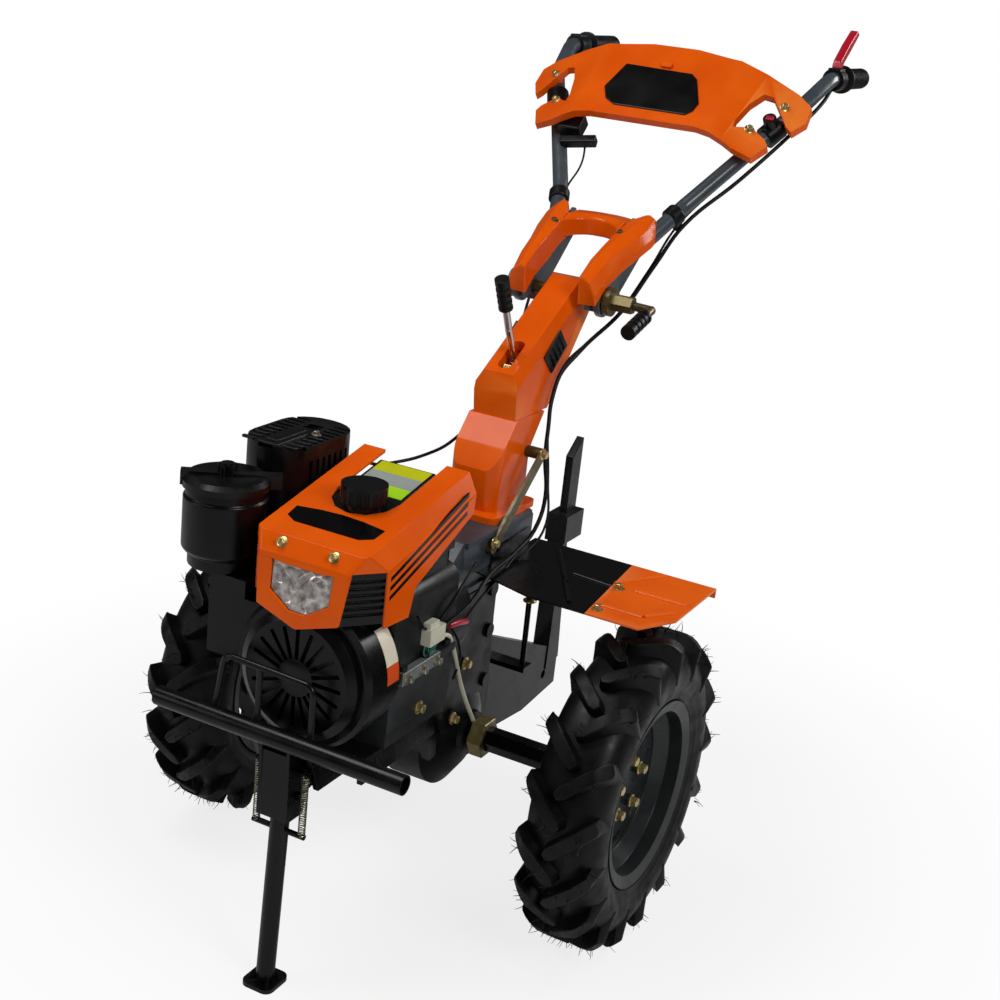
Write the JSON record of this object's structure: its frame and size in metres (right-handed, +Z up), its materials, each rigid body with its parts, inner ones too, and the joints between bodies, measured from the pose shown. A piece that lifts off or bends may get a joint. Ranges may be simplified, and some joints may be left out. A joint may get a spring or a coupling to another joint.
{
  "type": "power tiller",
  "caption": "Two-wheel walking power tiller with a front engine under a hood, vertical gearbox, lugged tyres, tilting handlebar, folding front stand and rear hitch.",
  "frame": {"origin": "middle of the outer box, on the floor under the wheels and the stand's foot", "axes": "+X forward to the engine and bumper, +Y to the machine's left, +Z up"},
  "size_m": [1.3461, 0.755, 1.297],
  "materials": {
    "cast_black": "satin black casting",
    "cast_slate": "satin slate casting",
    "cast_aluminium": "as cast",
    "black_plastic": "fine grain",
    "tank_steel": "satin",
    "orange_plastic": "gloss",
    "orange_steel": "gloss",
    "lamp_glass": "clear",
    "black_steel": "semi-gloss",
    "slate_steel": "semi-gloss",
    "zinc_steel": "yellow zinc",
    "chrome": "polished",
    "black_rubber": "matte",
    "red_plastic": "gloss",
    "white_plastic": "satin",
    "tyre_rubber": "matte"
  },
  "bodies": {
    "machine": {"gearbox_case": "cast_black", "gearbox_deck": "cast_slate", "engine_block": "cast_aluminium", "blower_housing": "black_plastic", "fuel_cap": "black_plastic", "hood_grilles": "black_plastic", "air_cleaner": "black_plastic", "air_cleaner_lid": "black_plastic", "column_vents": "black_plastic", "fuel_tank": "tank_steel", "hood": "orange_plastic", "column_lower": "orange_plastic", "column_upper": "orange_plastic", "headlight": "lamp_glass", "muffler_guard": "black_steel", "front_frame": "black_steel", "fenders_inner": "black_steel", "hitch": "black_steel", "drag_bar": "black_steel", "tilt_pin": "zinc_steel", "shift_link": "zinc_steel", "gear_lever": "chrome", "gear_knob": "black_rubber", "lock_crank_grip": "black_rubber", "cables_lower": "black_rubber", "fenders_outer": "orange_steel", "connectors": "white_plastic"},
    "wheel_left": {"tyre_left": "tyre_rubber", "rim_left": "slate_steel", "hub_left": "black_steel"},
    "wheel_right": {"tyre_right": "tyre_rubber", "rim_right": "slate_steel", "hub_right": "black_steel"},
    "stand": {"stand_leg": "black_steel", "stand_springs": "zinc_steel"},
    "handlebar": {"yoke": "slate_steel", "yoke_covers": "orange_plastic", "handle_tubes": "slate_steel", "dash_panel": "orange_plastic", "dash_plate": "black_plastic", "grips": "black_rubber", "clutch_lever": "red_plastic", "lever_perches": "black_plastic", "engine_switch": "red_plastic", "cables_upper": "black_rubber"}
  },
  "joints": [
    {"name": "wheel_left_spin", "type": "hinge", "parent": "machine", "child": "wheel_left", "pos_m": [0.23825, 0.319, 0.238], "axis": [0, 1, 0], "continuous": true},
    {"name": "wheel_right_spin", "type": "hinge", "parent": "machine", "child": "wheel_right", "pos_m": [0.23825, -0.319, 0.238], "axis": [0, 1, 0], "continuous": true},
    {"name": "stand_fold", "type": "hinge", "parent": "machine", "child": "stand", "pos_m": [0.63625, 0, 0.29], "axis": [0, 1, 0], "range_deg": [0, 65]},
    {"name": "handlebar_tilt", "type": "hinge", "parent": "machine", "child": "handlebar", "pos_m": [-0.05375, 0, 0.869], "axis": [0, 1, 0], "range_deg": [-12, 20]}
  ]
}
